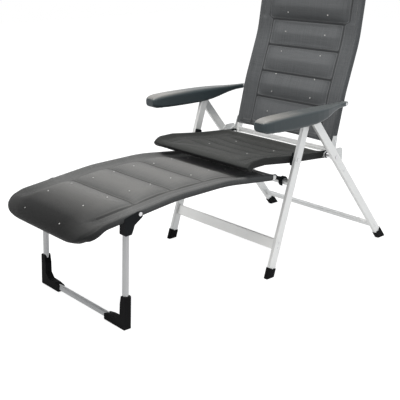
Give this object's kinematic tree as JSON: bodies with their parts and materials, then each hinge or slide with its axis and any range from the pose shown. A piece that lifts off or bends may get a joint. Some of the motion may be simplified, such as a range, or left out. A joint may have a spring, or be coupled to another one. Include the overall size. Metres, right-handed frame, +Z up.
{
  "type": "folding lounge chair",
  "caption": "Reclining folding chair with padded fabric seat and back, hollow plastic armrests, crossed tube legs and a padded leg rest on its own folding support leg.",
  "frame": {"origin": "middle of the whole footprint, on the floor", "axes": "+Z up, the sitter faces -Y, +X is the sitter's left"},
  "size_m": [0.642, 1.3912, 1.151],
  "materials": {
    "satin_aluminium": "satin, extruded",
    "bracket_aluminium": "satin, cast",
    "steel": "bright zinc",
    "black_plastic": "moulded, fine grain",
    "armrest_plastic": "moulded, soft sheen",
    "rubber_caps": "matt",
    "grey_fabric": "coated mesh weave, padded and sewn in channels"
  },
  "bodies": {
    "rear_legs": {"rear_leg_left": "satin_aluminium", "rear_leg_right": "satin_aluminium", "rear_leg_plugs": "black_plastic", "rear_foot_caps": "rubber_caps", "rear_crossbar": "satin_aluminium", "rear_rivets": "steel", "hinge_brackets": "bracket_aluminium", "hinge_bolts": "steel", "hinge_spacers": "steel", "rear_apex_pins": "steel"},
    "seat": {"seat_rail_left": "satin_aluminium", "seat_rail_right": "satin_aluminium", "seat_front_bar": "satin_aluminium", "seat_rear_bar": "satin_aluminium", "seat_end_caps": "black_plastic", "seat_fittings": "black_plastic", "seat_pad": "grey_fabric"},
    "front_legs": {"front_leg_left": "satin_aluminium", "front_leg_right": "satin_aluminium", "front_leg_plugs": "black_plastic", "front_foot_caps": "rubber_caps", "front_crossbar": "satin_aluminium", "front_rivets": "steel", "leg_rest_bar": "satin_aluminium", "front_apex_pins": "steel", "seat_pivot_bolts": "steel"},
    "back": {"back_bushes": "black_plastic", "armrest_pins": "steel", "back_rail_left": "satin_aluminium", "back_rail_right": "satin_aluminium", "back_bottom_bar": "satin_aluminium", "back_top_bar": "satin_aluminium", "back_hinge_plates": "bracket_aluminium", "back_plate_rivets": "steel", "back_pad": "grey_fabric", "headrest_pad": "grey_fabric"},
    "armrests": {"armrest_left": "armrest_plastic", "armrest_right": "armrest_plastic", "armrest_racks": "armrest_plastic"},
    "leg_rest": {"leg_rest_rail_left": "satin_aluminium", "leg_rest_rail_right": "satin_aluminium", "leg_rest_front_bar": "satin_aluminium", "leg_rest_hooks": "black_plastic", "leg_rest_pad": "grey_fabric"},
    "support_leg": {"support_tube": "satin_aluminium", "support_brackets": "black_plastic", "support_bolts": "steel", "support_feet": "rubber_caps"}
  },
  "joints": [
    {"name": "chair_fold", "type": "hinge", "parent": "rear_legs", "child": "seat", "pos_m": [0, 0.35641, 0.392], "axis": [-1, 0, 0], "range_deg": [0, 42]},
    {"name": "front_leg_fold", "type": "hinge", "parent": "seat", "child": "front_legs", "pos_m": [0, 0.17241, 0.408], "axis": [1, 0, 0], "range_deg": [0, 82]},
    {"name": "back_recline", "type": "hinge", "parent": "seat", "child": "back", "pos_m": [0, 0.35641, 0.392], "axis": [-1, 0, 0], "range_deg": [0, 45]},
    {"name": "armrest_level", "type": "hinge", "parent": "back", "child": "armrests", "pos_m": [0, 0.43541, 0.574], "axis": [1, 0, 0], "range_deg": [0, 26.6]},
    {"name": "leg_rest_tilt", "type": "hinge", "parent": "front_legs", "child": "leg_rest", "pos_m": [0, 0.14778, 0.328], "axis": [-1, 0, 0], "range_deg": [-22, 5]},
    {"name": "support_leg_fold", "type": "hinge", "parent": "leg_rest", "child": "support_leg", "pos_m": [0, -0.50259, 0.36195], "axis": [1, 0, 0], "range_deg": [0, 86]}
  ],
  "couplings": [
    {"joint": "front_leg_fold", "follows": "chair_fold", "ratio": 1.95},
    {"joint": "armrest_level", "follows": "back_recline", "ratio": 0.59}
  ]
}
